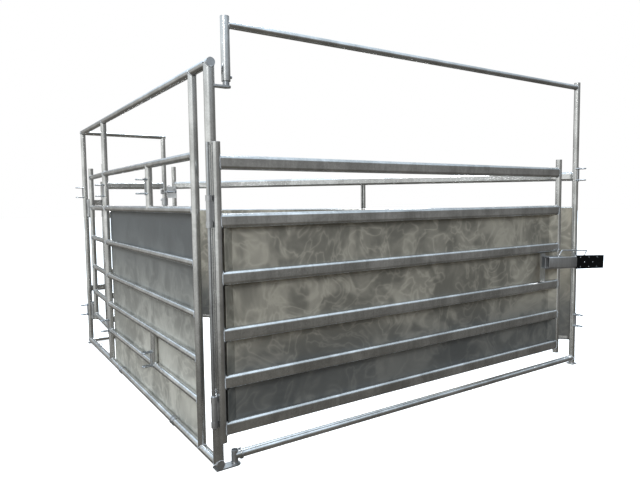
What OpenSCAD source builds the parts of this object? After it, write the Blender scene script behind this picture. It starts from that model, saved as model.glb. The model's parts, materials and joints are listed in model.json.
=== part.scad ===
// Livestock handling pen, three-cornered in plan: a side wall with a man gate, a swinging front gate
// under an overhead frame, and a long rear gate that closes the third side. Origin: ground under the
// corner post. +X runs along the front, +Y runs back along the side wall, +Z is up. Millimetres.

/* [Pen] */
// Distance along the side wall from the corner post to the rear post
side_len = 3465; // [3100:5:4200]
// Distance along the front from the corner post to the overhead frame's far post
front_len = 3471; // [2600:1:4200]
// Height of the side wall's top bar, to its centre line
top_bar_z = 2270; // [2100:5:2700]
// Height of the overhead frame's bar above the side wall's top bar
over_rise = 220; // [160:5:500]

/* [Tube] */
// Outer diameter of the side wall's posts and bars
wall_tube_d = 50; // [42:0.1:60]
// Outer diameter of the round rails
rail_d = 48.3; // [38:0.1:50]
// Outer diameter of the corner posts
corner_d = 60.3; // [52:0.1:76]
// Outer diameter of the oval-rail panels' posts
post_d = 48.3; // [42:0.1:60]
// Outer diameter of the man gate's tubes
man_tube_d = 48.3; // [38:0.1:50]
// Outer diameter of the overhead bar
over_bar_d = 42.4; // [33:0.1:48]
// Height of an oval rail's section
oval_h = 80; // [60:1:100]
// Thickness of an oval rail's section
oval_t = 40; // [30:1:46]
// Wall thickness of every tube
tube_wall = 2.6; // [1.5:0.1:4]
// Thickness of the infill sheets
sheet_t = 2; // [1:0.1:4]

/* [Side wall] */
// Distance from the corner post to the second post
slot_post_y = 250; // [200:5:450]
// Distance from the corner post to the man gate's strike post
strike_post_y = 2510; // [1800:5:2700]
// Heights of the round rails, from the top
rail_z = [1790, 1470, 1155, 845, 573, 321];
// Distance from the corner post to the short uprights
mid_upright_y = 1160; // [700:5:1700]
// Distance from the corner post to the front coupling on the bottom bar
coupler_front_y = 745; // [500:5:1000]
// Distance from the corner post to the rear coupling on the bottom bar
coupler_rear_y = 2130; // [1700:5:2300]
// Distance from the rear post to the ground pin
ground_pin_back = 455; // [300:5:700]

/* [Oval panels] */
// Heights of the front gate's rails, from the top
gate_rail_z = [1732, 1415, 1100, 784, 520, 256];
// Height of the front gate's post tops
gate_top_z = 1837; // [1800:1:1900]
// Height of the front gate's post feet
gate_foot_z = 182; // [120:1:200]
// How much lower the rear gate hangs than the front gate
panel_drop = 20; // [0:1:40]
// Distance from the front gate's latch post to the overhead frame's far post
gate_gap = 361; // [200:1:600]

/* [Hinges] */
// Outer diameter of a hinge knuckle
knuckle_d = 38; // [34:0.5:40]
// Diameter of a hinge pin
hinge_pin_d = 18; // [14:0.5:22]
// Height of the top of the upper hinge
hinge_top_z = 1555; // [1450:5:1600]
// Height of the top of the lower hinge
hinge_low_z = 450; // [380:5:500]
// Length of the gate's knuckle
knuckle_len = 110; // [80:1:130]
// Length of each collar on the post
collar_len = 32; // [20:1:40]

/* [Man gate] */
// Distance from the strike post to the man gate's free stile
man_gap = 75; // [60:1:160]
// Angle by which the man gate stands ajar
man_gate_ajar = 2.5; // [0:0.5:8]
// Height of the man gate's stile tops
man_top_z = 1885; // [1860:5:1950]
// Height of the man gate's stile feet
man_foot_z = 270; // [150:5:280]

/* [Rear] */
// Distance from the rear post to the hoop's post
hoop_x = 860; // [700:5:1000]
// Distance from the hoop's post to the rear gate's latch stile
rear_gap = 130; // [110:1:200]
// Distance from the overhead frame's far post to the rear gate's hinge stile
rear_stile_out = 100; // [96:1:140]
// Direction from the overhead frame's far post to the rear gate's hinge stile, turned from +X
rear_stile_turn = 31.5; // [20:0.5:60]
// Distance from the hoop's post to the rear gate's brace
rear_brace_x = 2360; // [1000:5:3500]
// Height of the rear gate's latch stile
rear_stile_top = 1925; // [1850:5:1950]
// Height where the hoop plugs on to its lower post
hoop_socket_z = 1485; // [1400:5:1500]
// Outer diameter of the collar where the hoop plugs on
hoop_collar_d = 70; // [56:1:80]
// Distance from the rear post to the fixed infill's stile
infill_stile_x = 180; // [140:5:260]

/* [Latch] */
// Height of the slide bolt's section
bolt_h = 92; // [70:1:110]
// Depth of the slide bolt's section
bolt_t = 42; // [34:1:100]
// Angle by which the slide bolt and its guide hang down towards the far post
bolt_droop = 3.3; // [0:0.1:5]
// How far the slide bolt starts short of the gate's latch post
bolt_back = 222; // [150:2:500]
// Length of the bare steel part of the slide bolt
bolt_steel_len = 396; // [330:2:450]
// Length of the padded end of the slide bolt
bolt_pad_len = 422; // [300:2:450]
// Height of the slide bolt's centre line
bolt_z = 985; // [950:1:1000]
// Thickness of the pad on the slide bolt's face
pad_skin = 10; // [6:1:16]
// Thickness of the pad on the slide bolt's end
pad_end = 12; // [8:1:20]
// How far the pad stands above and below the slide bolt
pad_rise = 13; // [0:1:20]

/* [Connectors] */
// Heights of the side wall's connectors
side_connector_z = [1635, 370];
// Heights of the overhead frame's connectors
front_connector_z = [1724, 409];
// Distance between a connector's two eyes
eye_gap = 101; // [80:1:120]
// Round bar of the eyes
eye_bar_d = 11; // [8:0.5:12]
// Clear width inside an eye
eye_clear = 26; // [20:0.5:32]
// How far an eye stands out of its plate
eye_reach = 62; // [50:1:100]

/* [Hidden] */
$fn = 48;
eps = 0.05;
cope_gap = 0.1;
foot_t = 8;
foot_w = 64;
cap_t = 4;
bottom_bar_z = foot_t + wall_tube_d / 2;
bar_over = 28;
man_angle = -90 - man_gate_ajar;
over_bar_z = top_bar_z + over_rise;
gate_len = front_len - gate_gap;
bolt_x0 = gate_len - bolt_back;
ground_pin_y = side_len - ground_pin_back;
gate_y = -70;
front_axis = [-45, -65];
side_axis = [20, side_len - 50];
man_stile = [45, side_len - 93];
man_gate_len = man_stile[1] - strike_post_y - man_gap;
rear_line = [front_len + rear_stile_out * cos(rear_stile_turn) - hoop_x, rear_stile_out * sin(rear_stile_turn) - side_len];
rear_len = norm(rear_line);
rear_turn = atan2(rear_line[1], rear_line[0]);
far_post_way = rear_stile_turn - rear_turn;
far_post_off = -rear_stile_out * [cos(far_post_way), sin(far_post_way)];
rear_axis = [rear_len, 0] + far_post_off / 2;
frame_pin_x = 100;
sleeve_d = 51;
bottom_sleeve_d = 40;
top_pin_d = 38;
low_pin_d = 28;
bracket_z = top_bar_z - 124;
screw_z = bracket_z + 60;
sleeve_rise = 38;
screw_d = 10;
over_foot_z = 55;
lower_bar_d = 48.3;
sheet_inset = 3;
end_gap = 0.5;
side_sheet_x = max(rail_d, wall_tube_d) / 2 + cope_gap;
hinge_tops = [hinge_top_z, hinge_low_z];
hinge_gap = 0.5;
pin_fit = 0.08;
bolt_y1 = gate_y - post_d / 2 - 11;
bolt_wall = 4;
plate_t = 6;
rear_bolt_y = -post_d / 2 - 18;
rear_bolt_z = 1640;
rear_bolt_d = 18;
guide_t = 16;
rear_guide_gap = 106;
keeper_fit = 5;
side_connector_y = [side_len, strike_post_y, mid_upright_y];
drop_rail_z = [for (z = gate_rail_z) z - panel_drop];
zinc = [0.66, 0.68, 0.70];
zinc_light = [0.74, 0.76, 0.78];
zinc_dark = [0.45, 0.46, 0.47];
pad_black = [0.04, 0.04, 0.045];

// ---- shared shapes ----

// An upright round tube from z0 to z1
module tube_z(d, z0, z1) {
  translate([0, 0, z0])
    difference() {
      cylinder(d = d, h = z1 - z0);
      translate([0, 0, -1])
        cylinder(d = d - 2 * tube_wall, h = z1 - z0 + 2);
    }
}

// A solid upright cylinder that a tube's end is cut to fit
module cutter_z(d) {
  translate([0, 0, -100])
    cylinder(d = d + 2 * cope_gap, h = 3200);
}

// A round tube along Y from y0 to y1
module tube_y(d, y0, y1) {
  translate([0, y1, 0])
    rotate([90, 0, 0])
      tube_z(d, 0, y1 - y0);
}

// A round tube along X from x0 to x1
module tube_x(d, x0, x1) {
  translate([x0, 0, 0])
    rotate([0, 90, 0])
      tube_z(d, 0, x1 - x0);
}

// A solid bar along Y that an upright's end is cut to fit
module cutter_y(d, z) {
  translate([0, side_len + 300, z])
    rotate([90, 0, 0])
      cylinder(d = d + 2 * cope_gap, h = side_len + 600);
}

// A solid bar along X that an upright's end is cut to fit
module cutter_x(d, z) {
  translate([-300, 0, z])
    rotate([0, 90, 0])
      cylinder(d = d + 2 * cope_gap, h = front_len + 600);
}

// The outline of an oval tube, standing on its long axis
module stadium(h, t) {
  square([t, h - t], center = true);
  translate([0, (h - t) / 2])
    circle(d = t);
  translate([0, -(h - t) / 2])
    circle(d = t);
}

// An oval tube along X from x0 to x1
module oval_x(x0, x1) {
  translate([x0, 0, 0])
    rotate([90, 0, 90])
      linear_extrude(x1 - x0)
        difference() {
          stadium(oval_h, oval_t);
          stadium(oval_h - 2 * tube_wall, oval_t - 2 * tube_wall);
        }
}

// Oval rails along X between two posts, each end cut to fit its post
module oval_rails(x0, x1, heights) {
  for (z = heights)
    difference() {
      translate([0, 0, z])
        oval_x(x0, x1);
      translate([x0, 0, 0])
        cutter_z(post_d);
      translate([x1, 0, 0])
        cutter_z(post_d);
    }
}

// Round rails along X between two posts, each end cut to fit its post
module round_rails(x0, x1, heights, d, end_d) {
  for (z = heights)
    difference() {
      translate([0, 0, z])
        tube_x(d, x0, x1);
      translate([x0, 0, 0])
        cutter_z(end_d);
      translate([x1, 0, 0])
        cutter_z(end_d);
    }
}

// An infill sheet along X behind the oval rails, with a sloping return at both ends of every bay
module panel_sheet(x0, x1, heights) {
  z0 = heights[5];
  z1 = heights[1] + oval_h / 2 - 8;
  back = oval_t / 2;
  slope = 60;
  translate([x0, back, z0])
    cube([x1 - x0, sheet_t, z1 - z0]);
  for (i = [1:4], end = [0, 1])
    translate([end == 0 ? x0 : x1, 0, heights[i + 1] + oval_h / 2 + end_gap])
      mirror([end, 0, 0])
        linear_extrude(heights[i] - heights[i + 1] - oval_h - 2 * end_gap)
          polygon([[0, -back], [2 * sheet_t, -back], [slope + 2 * sheet_t, back - eps], [slope, back - eps]]);
}

// A flat disc cap on a tube's upper end
module cap_z(d, z) {
  translate([0, 0, z])
    cylinder(d = d, h = cap_t);
}

// A collar round a hinge pin, with a lug that reaches a post at place p
module collar_lug(p, p_d, z0, len, lug_t, d) {
  reach = norm(p);
  difference() {
    union() {
      translate([0, 0, z0])
        cylinder(d = d, h = len);
      rotate([0, 0, atan2(p[1], p[0])])
        translate([0, -lug_t / 2, z0 + 3])
          cube([reach, lug_t, len - 6]);
    }
    translate([0, 0, z0 - 1])
      cylinder(d = hinge_pin_d + 2 * pin_fit, h = len + 2);
    translate([p[0], p[1], 0])
      cutter_z(p_d);
  }
}

// The two collars of each hinge, fixed to a post at place p
module hinge_collars(p, p_d) {
  for (top = hinge_tops) {
    collar_lug(p, p_d, top - collar_len, collar_len, 12, knuckle_d);
    collar_lug(p, p_d, top - 2 * collar_len - knuckle_len - 2 * hinge_gap, collar_len, 12, knuckle_d);
  }
}

// The gate's own knuckle of each hinge, fixed to a stile at place p
module hinge_knuckles(p, p_d) {
  for (top = hinge_tops)
    collar_lug(p, p_d, top - collar_len - hinge_gap - knuckle_len, knuckle_len, 14, knuckle_d - 5);
}

// The pin of each hinge, with a head on top
module hinge_pins_at(p) {
  translate([p[0], p[1], 0])
    for (top = hinge_tops) {
      translate([0, 0, top - 2 * collar_len - knuckle_len - 12])
        cylinder(d = hinge_pin_d, h = 2 * collar_len + knuckle_len + 12.5);
      translate([0, 0, top + 0.5])
        cylinder(d = hinge_pin_d + 8, h = 9, $fn = 6);
    }
}

// ---- side wall ----

module corner_post() {
  color(zinc)
    difference() {
      tube_z(corner_d, bottom_bar_z, top_bar_z);
      cutter_y(wall_tube_d, top_bar_z);
      cutter_y(wall_tube_d, bottom_bar_z);
    }
}

module side_post(y) {
  color(zinc)
    translate([0, y, 0])
      difference() {
        tube_z(wall_tube_d, bottom_bar_z, top_bar_z);
        translate([0, -y, 0])
          cutter_y(wall_tube_d, top_bar_z);
        translate([0, -y, 0])
          cutter_y(wall_tube_d, bottom_bar_z);
      }
}

module slot_post() {
  side_post(slot_post_y);
}

module strike_post() {
  side_post(strike_post_y);
}

module rear_post() {
  difference() {
    side_post(side_len);
    for (z = [top_bar_z, bottom_bar_z])
      translate([0, side_len, z])
        rotate([0, 90, 0])
          cylinder(d = wall_tube_d + 2 * cope_gap, h = 2 * wall_tube_d);
  }
}

module side_top_bar() {
  color(zinc_light)
    translate([0, 0, top_bar_z])
      tube_y(wall_tube_d, -bar_over, side_len + bar_over);
}

module side_bottom_bar() {
  color(zinc_light)
    translate([0, 0, bottom_bar_z])
      tube_y(wall_tube_d, -bar_over, side_len + bar_over);
}

module side_rails() {
  color(zinc_light)
    translate([0, slot_post_y, 0])
      rotate([0, 0, 90])
        round_rails(0, strike_post_y - slot_post_y, rail_z, rail_d, wall_tube_d);
}

module side_sheet() {
  sheet_y0 = slot_post_y + wall_tube_d / 2 + sheet_inset;
  sheet_y1 = strike_post_y - wall_tube_d / 2 - sheet_inset;
  color(zinc_dark)
    translate([side_sheet_x, sheet_y0, bottom_bar_z])
      cube([sheet_t, sheet_y1 - sheet_y0, rail_z[1] - bottom_bar_z]);
}

// A short upright between two rails, each end cut to fit its rail
module short_upright(y, z_low, z_high) {
  difference() {
    translate([0, y, 0])
      tube_z(wall_tube_d, z_low, z_high);
    cutter_y(rail_d, z_low);
    cutter_y(rail_d, z_high);
  }
}

module side_mid_uprights() {
  color(zinc) {
    short_upright(mid_upright_y, rail_z[1], rail_z[0]);
    difference() {
      short_upright(mid_upright_y, rail_z[5], rail_z[4]);
      translate([side_sheet_x - cope_gap, mid_upright_y - wall_tube_d, rail_z[5]])
        cube([20, 2 * wall_tube_d, rail_z[4] - rail_z[5]]);
    }
  }
}

module side_bar_caps() {
  color(zinc_dark)
    for (z = [top_bar_z, bottom_bar_z], end = [0, 1])
      translate([0, end == 0 ? -bar_over : side_len + bar_over + cap_t, z])
        rotate([90, 0, 0])
          cylinder(d = wall_tube_d, h = cap_t);
}

// A split sleeve round the bottom bar, with a band at each end
module coupler(y) {
  band = 10;
  half = 28;
  translate([0, y + half, bottom_bar_z])
    rotate([90, 0, 0])
      difference() {
        union() {
          cylinder(d = wall_tube_d + 4, h = 2 * half);
          for (z = [0, 2 * half - band])
            translate([0, 0, z])
              cylinder(d = wall_tube_d + 11, h = band);
        }
        translate([0, 0, -1])
          cylinder(d = wall_tube_d + 2 * cope_gap, h = 2 * half + 2);
        translate([-60, -wall_tube_d / 2 - 60 + 3, -1])
          cube([120, 60, 2 * half + 2]);
        translate([side_sheet_x - cope_gap, -60, -1])
          cube([30, 120, 2 * half + 2]);
      }
}

module bar_couplers() {
  color(zinc_dark) {
    coupler(coupler_front_y);
    coupler(coupler_rear_y);
  }
}

module coupler_bolts() {
  color(zinc_light)
    for (y = [coupler_front_y, coupler_rear_y], side = [-1, 1])
      translate([-wall_tube_d / 2 - 9.6, y + side * 23, bottom_bar_z + 8])
        rotate([0, 90, 0])
          cylinder(d = 9, h = 4, $fn = 6);
}

module ground_pin() {
  color(zinc_light)
    difference() {
      translate([0, ground_pin_y, bottom_bar_z + wall_tube_d / 2]) {
        translate([0, 0, -4])
          cylinder(d = 12, h = 7);
        translate([0, 0, 16])
          rotate([90, 0, 0])
            rotate_extrude()
              translate([17, 0])
                circle(d = 7);
      }
      cutter_y(wall_tube_d, bottom_bar_z);
    }
}

// ---- connectors ----

// The lowest side rail, as a solid that the connectors' pieces are cut to fit
module low_rail_cutter() {
  translate([0, strike_post_y, rail_z[5]])
    rotate([90, 0, 0])
      cylinder(d = rail_d + 2 * cope_gap, h = strike_post_y - slot_post_y);
}

// Places one connector's children at the middle between its two eyes, reaching along -X
module at_connectors() {
  for (y = side_connector_y, z = side_connector_z)
    translate([-wall_tube_d / 2, y, z])
      children();
  for (z = front_connector_z)
    translate([front_len, -wall_tube_d / 2, z])
      rotate([0, 0, 90])
        children();
}

module connector_plates() {
  color(zinc)
    difference() {
      at_connectors()
        difference() {
          translate([-5, -12, -eye_gap / 2 - 12])
            cube([12, 24, eye_gap + 24]);
          translate([wall_tube_d / 2, 0, -200])
            cylinder(d = wall_tube_d + 2 * cope_gap, h = 400);
        }
      low_rail_cutter();
    }
}

module connector_eye_legs() {
  bend = (eye_clear + eye_bar_d) / 2;
  color(zinc_light)
    difference() {
      at_connectors()
        for (z = [-eye_gap / 2, eye_gap / 2], side = [-1, 1])
          difference() {
            translate([-5 - eye_reach + bend, side * bend, z])
              rotate([0, 90, 0])
                cylinder(d = eye_bar_d, h = eye_reach + 15 - bend);
            translate([wall_tube_d / 2, 0, -200])
              cylinder(d = wall_tube_d + 2 * cope_gap, h = 400);
          }
      low_rail_cutter();
    }
}

module connector_eye_bends() {
  color(zinc_light)
    at_connectors()
      for (z = [-eye_gap / 2, eye_gap / 2])
        translate([-5 - eye_reach + (eye_clear + eye_bar_d) / 2, 0, z])
          rotate([0, 0, 90])
            rotate_extrude(angle = 180)
              translate([(eye_clear + eye_bar_d) / 2, 0])
                circle(d = eye_bar_d);
}

// ---- hinges fixed to the frame ----

// Lays children that run along X from the hoop's post to the rear gate's hinge stile, inner side at -Y
module on_rear_gate() {
  translate([hoop_x, side_len, 0])
    rotate([0, 0, rear_turn])
      children();
}

// The rod that passes through both of the front gate's hinges, with a head at the gate's top
module front_hinge_rod() {
  rod_z0 = hinge_low_z - 2 * collar_len - knuckle_len - 12;
  translate([front_axis[0], front_axis[1], rod_z0])
    cylinder(d = hinge_pin_d, h = gate_top_z - rod_z0 - 12.5);
  translate([front_axis[0], front_axis[1], gate_top_z - 13])
    cylinder(d = hinge_pin_d + 6, h = 13);
}

module front_hinge_collars() {
  color(zinc_dark)
    translate([front_axis[0], front_axis[1], 0])
      hinge_collars(-front_axis, corner_d);
}

module side_hinge_collars() {
  color(zinc_dark)
    translate([side_axis[0], side_axis[1], 0])
      hinge_collars([0, side_len] - side_axis, wall_tube_d);
}

module rear_hinge_collars() {
  color(zinc_dark)
    on_rear_gate()
      translate([rear_axis[0], rear_axis[1], 0])
        hinge_collars(far_post_off / 2, wall_tube_d);
}

module hinge_pins() {
  color(zinc_light) {
    front_hinge_rod();
    hinge_pins_at(side_axis);
    on_rear_gate()
      hinge_pins_at(rear_axis);
  }
}

// ---- overhead frame ----

module top_bracket() {
  color(zinc)
    difference() {
      union() {
        translate([0, -26, bracket_z])
          cube([frame_pin_x, 52, 10]);
        translate([frame_pin_x, 0, bracket_z])
          cylinder(d = 52, h = 10);
      }
      cutter_z(corner_d);
    }
}

module frame_pins() {
  color(zinc_light)
    translate([frame_pin_x, 0, 0]) {
      translate([0, 0, bracket_z + 10])
        cylinder(d = top_pin_d, h = 80);
      translate([0, 0, foot_t])
        cylinder(d = low_pin_d, h = 68);
    }
}

module foot_plates() {
  color(zinc) {
    translate([-wall_tube_d / 2, -foot_w / 2, 0])
      cube([frame_pin_x + wall_tube_d / 2, foot_w, foot_t]);
    translate([frame_pin_x, 0, 0])
      cylinder(d = foot_w, h = foot_t);
    for (p = [[0, side_len], [hoop_x, side_len], [front_len, 0]])
      translate([p[0] - foot_w / 2, p[1] - foot_w / 2, 0])
        cube([foot_w, foot_w, foot_t]);
  }
}

module over_sleeve() {
  color(zinc_light)
    translate([frame_pin_x, 0, 0])
      difference() {
        tube_z(sleeve_d, bracket_z + 36, over_bar_z + sleeve_rise);
        translate([0, 0, screw_z])
          rotate([0, 90, 0])
            cylinder(d = screw_d + 2 * cope_gap, h = sleeve_d);
      }
}

module over_caps() {
  color(zinc_dark) {
    translate([frame_pin_x, 0, 0])
      cap_z(sleeve_d, over_bar_z + sleeve_rise);
    translate([front_len, 0, 0])
      cap_z(wall_tube_d, over_bar_z + sleeve_rise);
  }
}

module over_bar() {
  color(zinc_light)
    difference() {
      translate([0, 0, over_bar_z])
        tube_x(over_bar_d, frame_pin_x, front_len);
      translate([frame_pin_x, 0, 0])
        cutter_z(sleeve_d);
      translate([front_len, 0, 0])
        cutter_z(wall_tube_d);
    }
}

module over_post() {
  color(zinc)
    translate([front_len, 0, 0])
      tube_z(wall_tube_d, foot_t, over_bar_z + sleeve_rise);
}

module over_bottom_bar() {
  color(zinc_light)
    difference() {
      translate([0, 0, over_foot_z])
        tube_x(lower_bar_d, frame_pin_x, front_len);
      translate([frame_pin_x, 0, 0])
        cutter_z(bottom_sleeve_d);
      translate([front_len, 0, 0])
        cutter_z(wall_tube_d);
      translate([frame_pin_x + 34, 0, over_foot_z])
        rotate([0, 90, 0])
          difference() {
            cylinder(d = lower_bar_d + 20, h = 10);
            translate([0, 0, -1])
              cylinder(d = lower_bar_d - 1, h = 12);
          }
    }
}

module over_bottom_sleeve() {
  color(zinc_dark) {
    translate([frame_pin_x, 0, 0])
      tube_z(bottom_sleeve_d, foot_t + 1, foot_t + 80);
    translate([frame_pin_x + 34, 0, over_foot_z])
      rotate([0, 90, 0])
        difference() {
          cylinder(d = lower_bar_d + 16, h = 10);
          translate([0, 0, -1])
            cylinder(d = lower_bar_d - 1 + 2 * cope_gap, h = 12);
        }
  }
}

module sleeve_screw() {
  color(zinc_light)
    translate([frame_pin_x, 0, screw_z])
      rotate([0, 90, 0]) {
        translate([0, 0, top_pin_d / 2 + cope_gap])
          cylinder(d = screw_d, h = sleeve_d / 2 - top_pin_d / 2 + 4);
        translate([0, 0, sleeve_d / 2 + 1])
          cylinder(d = screw_d + 7, h = 8, $fn = 6);
      }
}

// The block on the far post that the slide bolt rests against
module latch_striker() {
  color(zinc)
    translate([front_len, 0, bolt_z - (front_len - bolt_x0) * tan(bolt_droop)])
      difference() {
        translate([-30, bolt_y1 + 1, -36])
          cube([60, -bolt_y1, 72]);
        translate([0, 0, -100])
          cylinder(d = wall_tube_d + 2 * cope_gap, h = 200);
      }
}

// ---- rear hoop and fixed infill ----

module hoop_bar() {
  color(zinc_light)
    translate([0, side_len, 0])
      difference() {
        translate([0, 0, top_bar_z])
          tube_x(wall_tube_d, 0, hoop_x + wall_tube_d / 2);
        translate([0, -side_len, 0])
          cutter_y(wall_tube_d, top_bar_z);
      }
}

module hoop_post() {
  color(zinc)
    translate([hoop_x, side_len, 0])
      difference() {
        tube_z(wall_tube_d, hoop_socket_z + 86, top_bar_z);
        translate([-hoop_x, 0, 0])
          cutter_x(wall_tube_d, top_bar_z);
      }
}

// The collar where the hoop plugs on to its lower post, and its clamp screw
module hoop_collar() {
  color(zinc_dark)
    translate([hoop_x, side_len, hoop_socket_z]) {
      difference() {
        cylinder(d = hoop_collar_d, h = 86 - cope_gap);
        translate([0, 0, -1])
          cylinder(d = wall_tube_d + 2 * cope_gap, h = 50);
      }
      translate([-hoop_collar_d / 2 - 10, 0, 64])
        rotate([0, 90, 0])
          cylinder(d = 18, h = 12);
    }
}

module hoop_lower_post() {
  color(zinc)
    translate([hoop_x, side_len, 0])
      difference() {
        tube_z(wall_tube_d, bottom_bar_z, hoop_socket_z + 48);
        translate([-hoop_x, 0, 0])
          cutter_x(wall_tube_d, bottom_bar_z);
      }
}

module hoop_bottom_bar() {
  color(zinc_light)
    translate([0, side_len, 0])
      difference() {
        translate([0, 0, bottom_bar_z])
          tube_x(wall_tube_d, 0, hoop_x + wall_tube_d / 2);
        translate([0, -side_len, 0])
          cutter_y(wall_tube_d, bottom_bar_z);
      }
}

module infill_stile() {
  color(zinc) {
    translate([infill_stile_x, side_len, 0])
      tube_z(post_d, gate_foot_z, drop_rail_z[0] + oval_h / 2);
    for (z = [side_connector_z[0] - 140, side_connector_z[1] + 200])
      difference() {
        translate([0, side_len - 5, z])
          cube([infill_stile_x, 10, 60]);
        translate([0, side_len, 0])
          cutter_z(wall_tube_d);
        translate([infill_stile_x, side_len, 0])
          cutter_z(post_d);
      }
  }
}

module infill_rails() {
  color(zinc_light)
    translate([0, side_len, 0])
      for (z = drop_rail_z)
        difference() {
          translate([0, 0, z])
            oval_x(infill_stile_x, hoop_x);
          translate([infill_stile_x, 0, 0])
            cutter_z(post_d);
          translate([hoop_x, 0, 0])
            cutter_z(wall_tube_d);
        }
}

// The rear bolt's keeper, fixed to the hoop's post
module rear_keeper() {
  color(zinc_dark)
    on_rear_gate()
      difference() {
        translate([-guide_t / 2, rear_bolt_y - 24, rear_bolt_z - 24])
          cube([guide_t, -rear_bolt_y + 24, 48]);
        cutter_z(wall_tube_d);
        bolt_bore(-guide_t / 2, keeper_fit);
      }
}

// ---- front gate ----

module gate_posts() {
  color(zinc)
    for (x = [0, gate_len])
      translate([x, gate_y, 0])
        tube_z(post_d, gate_foot_z, gate_top_z);
}

module gate_rails() {
  color(zinc_light)
    translate([0, gate_y, 0])
      oval_rails(0, gate_len, gate_rail_z);
}

module gate_sheet() {
  color(zinc_dark)
    translate([0, gate_y, 0])
      panel_sheet(post_d / 2 + sheet_inset, gate_len - post_d / 2 - sheet_inset, gate_rail_z);
}

module gate_caps() {
  color(zinc_light)
    for (x = [0, gate_len])
      translate([x, gate_y, 0])
        cap_z(post_d, gate_top_z);
}

module gate_knuckles() {
  color(zinc_dark)
    translate([front_axis[0], front_axis[1], 0])
      hinge_knuckles([0, gate_y] - front_axis, post_d);
}

// Lays children along the slide bolt, which hangs a little down towards the far post
module on_bolt() {
  translate([bolt_x0, 0, bolt_z])
    rotate([0, bolt_droop, 0])
      translate([-bolt_x0, 0, -bolt_z])
        children();
}

// A tray under the slide bolt, a plate behind it, a lip over its back edge, and the flat bar and
// gusset that carry them in the bay below the third rail
module latch_guide() {
  guide_lead = 48;
  guide_x = bolt_x0 - guide_lead;
  guide_len = bolt_steel_len + guide_lead;
  back_y = bolt_y1 + 1;
  tray_y = bolt_y1 - bolt_t + pad_skin + 1;
  low_z = bolt_z - bolt_h / 2 - 1 - plate_t;
  high_z = bolt_z + bolt_h / 2 + 1;
  bay_z0 = gate_rail_z[3] + oval_h / 2 + end_gap;
  bay_z1 = gate_rail_z[2] - oval_h / 2 - end_gap;
  plate_len = gate_len + post_d / 2 - guide_x;
  color(zinc) {
    on_bolt() {
      translate([guide_x, back_y, low_z])
        cube([plate_len, plate_t, high_z + plate_t - low_z]);
      translate([guide_x, tray_y, low_z])
        cube([guide_len, back_y + plate_t - tray_y, plate_t]);
      translate([guide_x, bolt_y1 - 8, high_z])
        cube([plate_len, back_y - bolt_y1 + 8, plate_t]);
    }
    translate([guide_x, back_y + plate_t - 1, bay_z0])
      cube([60, gate_y - oval_t / 2 - back_y - plate_t + 1, bay_z1 - bay_z0]);
    translate([guide_x, tray_y, bay_z0])
      cube([plate_t, back_y + plate_t - tray_y, low_z - bay_z0 + 1 + guide_lead * tan(bolt_droop)]);
  }
}

module latch_bolt() {
  color(zinc_light)
    on_bolt()
      translate([bolt_x0, bolt_y1 - bolt_t, bolt_z - bolt_h / 2])
        difference() {
          cube([bolt_steel_len + bolt_pad_len - pad_end, bolt_t, bolt_h]);
          translate([-1, bolt_wall, bolt_wall])
            cube([bolt_steel_len + bolt_pad_len + 2, bolt_t - 2 * bolt_wall, bolt_h - 2 * bolt_wall]);
          translate([bolt_steel_len, -1, -1])
            cube([bolt_pad_len, 1 + pad_skin, bolt_h + 2]);
        }
}

module latch_pad() {
  color(pad_black)
    on_bolt()
      translate([bolt_x0 + bolt_steel_len, bolt_y1 - bolt_t, bolt_z - bolt_h / 2]) {
        translate([0, 0, -pad_rise])
          cube([bolt_pad_len, pad_skin - cope_gap, bolt_h + 2 * pad_rise]);
        translate([bolt_pad_len - pad_end + cope_gap, pad_skin + cope_gap, 0])
          cube([pad_end - cope_gap, bolt_t - pad_skin - cope_gap, bolt_h]);
      }
}

module latch_screws() {
  color(zinc_light)
    on_bolt()
      translate([bolt_x0 + bolt_steel_len, bolt_y1 - bolt_t, bolt_z])
        for (i = [0:4])
          for (z = i % 2 == 0 ? [-bolt_h / 2 + 4, bolt_h / 2 - 4] : [0])
            translate([52 + i * (bolt_pad_len - 164) / 4, 0, z])
              rotate([90, 0, 0])
                cylinder(d = 11, h = 2.5);
}

// A bent round bar that stands on top of the slide bolt
module latch_handle() {
  bar = 11;
  rise = 54;
  lean = 46;
  left = bolt_x0 + 150;
  right = bolt_x0 + bolt_steel_len + 130;
  slope = atan2(lean, rise);
  leg = norm([lean, rise]);
  color(zinc_dark)
    on_bolt()
      translate([0, bolt_y1 - bolt_t / 2, bolt_z + bolt_h / 2]) {
        for (x = [left, right])
          translate([x, 0, 0]) {
            translate([2, 0, 0])
              cylinder(d = bar + 5, h = 5);
            rotate([0, slope, 0])
              translate([0, 0, 5])
                cylinder(d = bar, h = leg - 5);
            translate([lean, 0, rise])
              sphere(d = bar + 0.8);
          }
        translate([left + lean, 0, rise])
          rotate([0, 90, 0])
            cylinder(d = bar - 0.4, h = right - left);
      }
}

// ---- man gate ----

// Lays children that run along X from the man gate's hinge stile
module on_man_gate() {
  translate([man_stile[0], man_stile[1], 0])
    rotate([0, 0, man_angle])
      children();
}

module man_gate_stiles() {
  color(zinc)
    on_man_gate()
      for (x = [0, man_gate_len])
        translate([x, 0, 0])
          tube_z(man_tube_d, man_foot_z, man_top_z);
}

module man_gate_rails() {
  color(zinc_light)
    on_man_gate()
      round_rails(0, man_gate_len, rail_z, man_tube_d - 2, man_tube_d);
}

module man_gate_knuckles() {
  color(zinc_dark)
    translate([side_axis[0], side_axis[1], 0])
      hinge_knuckles(man_stile - side_axis, man_tube_d);
}

// ---- rear gate ----

module rear_gate_stiles() {
  color(zinc)
    on_rear_gate() {
      translate([rear_gap, 0, 0])
        tube_z(post_d, gate_foot_z, rear_stile_top);
      translate([rear_len, 0, 0])
        tube_z(post_d, gate_foot_z, drop_rail_z[0] + oval_h / 2);
    }
}

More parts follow.
